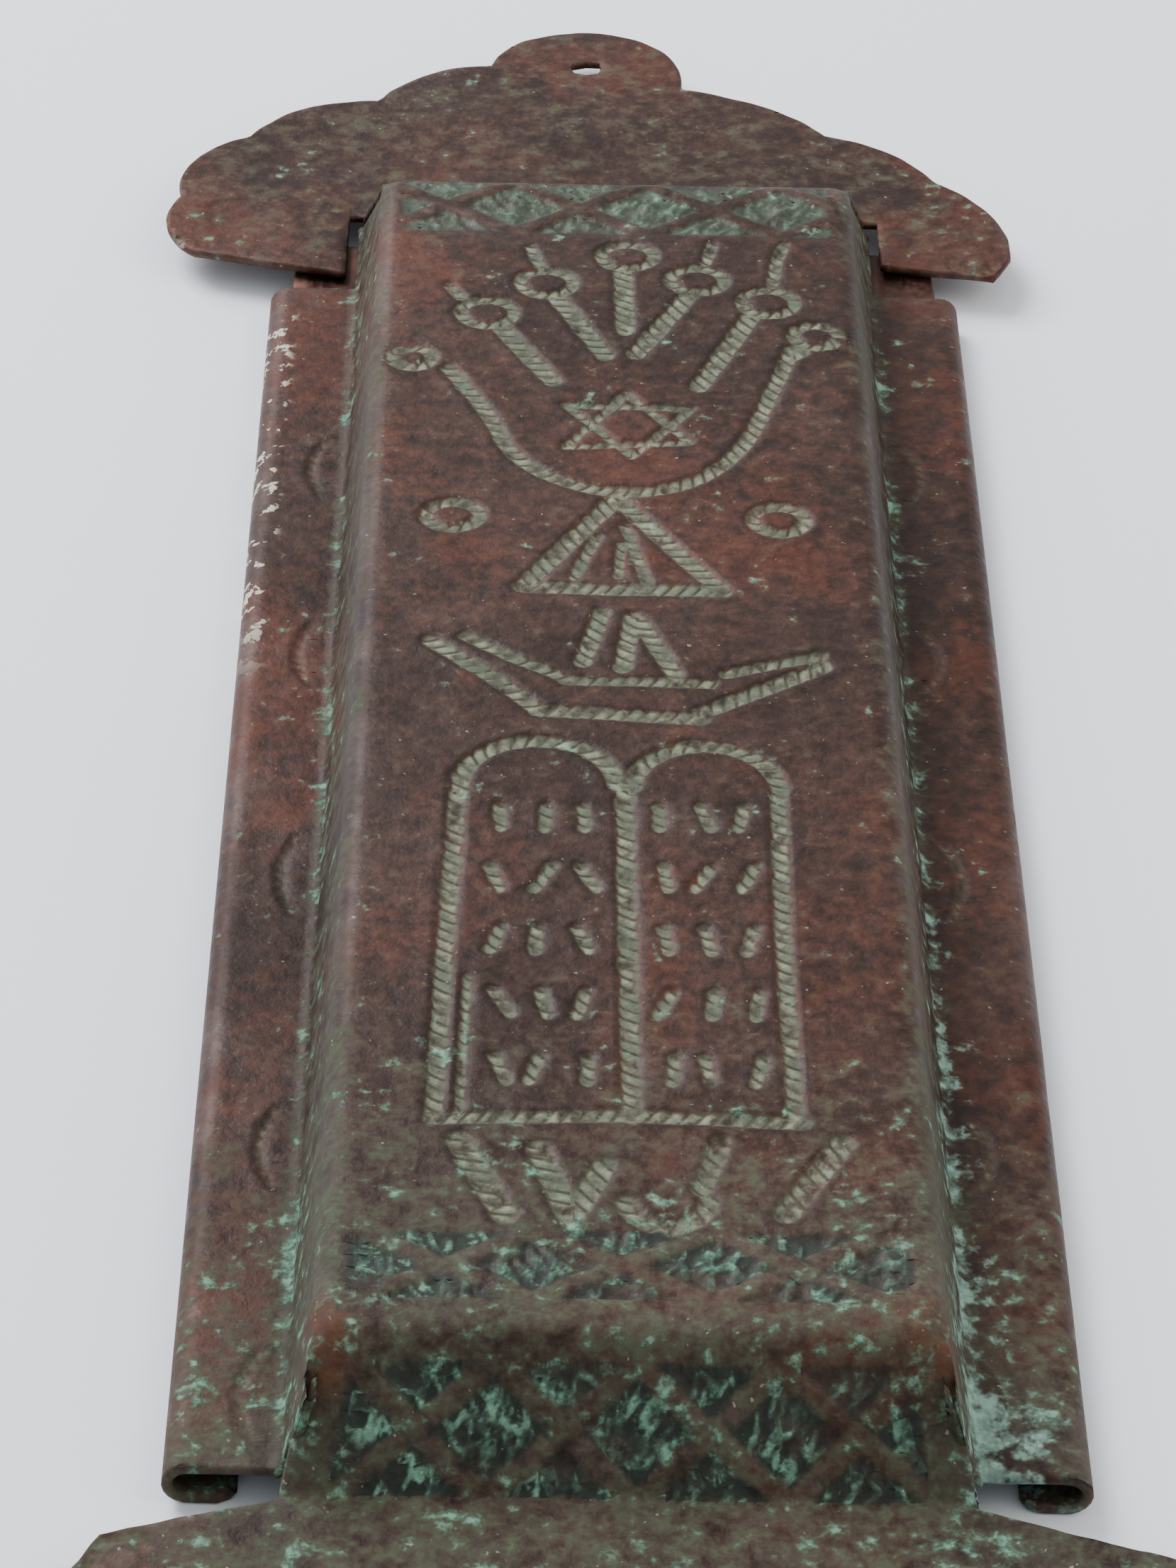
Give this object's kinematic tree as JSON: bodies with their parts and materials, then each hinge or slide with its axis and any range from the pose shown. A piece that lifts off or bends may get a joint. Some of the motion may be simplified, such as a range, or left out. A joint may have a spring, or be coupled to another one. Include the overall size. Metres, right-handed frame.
{
  "type": "mezuzah case",
  "caption": "Flat folded copper mezuzah case with scalloped crests, a chased raised box, folded side channels, a sliding back plate and a rolled parchment.",
  "frame": {"origin": "midway between the two crest tips, on the surface that the folded hems rest on", "axes": "+X across the case, +Y towards the upper crest, +Z out of the decorated front"},
  "size_m": [0.0662, 0.2016, 0.0095],
  "materials": {
    "aged_copper": "aged copper with brown patina and verdigris",
    "plain_copper": "dull brown copper, scratched along the slide",
    "parchment": "dry yellowed parchment"
  },
  "bodies": {
    "cover": {"front_cover": "aged_copper"},
    "plate": {"back_plate": "plain_copper"},
    "parchment": {"scroll": "parchment"}
  },
  "joints": [
    {"name": "plate_slide", "type": "slide", "parent": "cover", "child": "plate", "axis": [0, 1, 0], "range_m": [-0.008, 0.11]},
    {"name": "scroll_shift", "type": "slide", "parent": "cover", "child": "parchment", "axis": [0, 1, 0], "range_m": [-0.01, 0.01]}
  ]
}
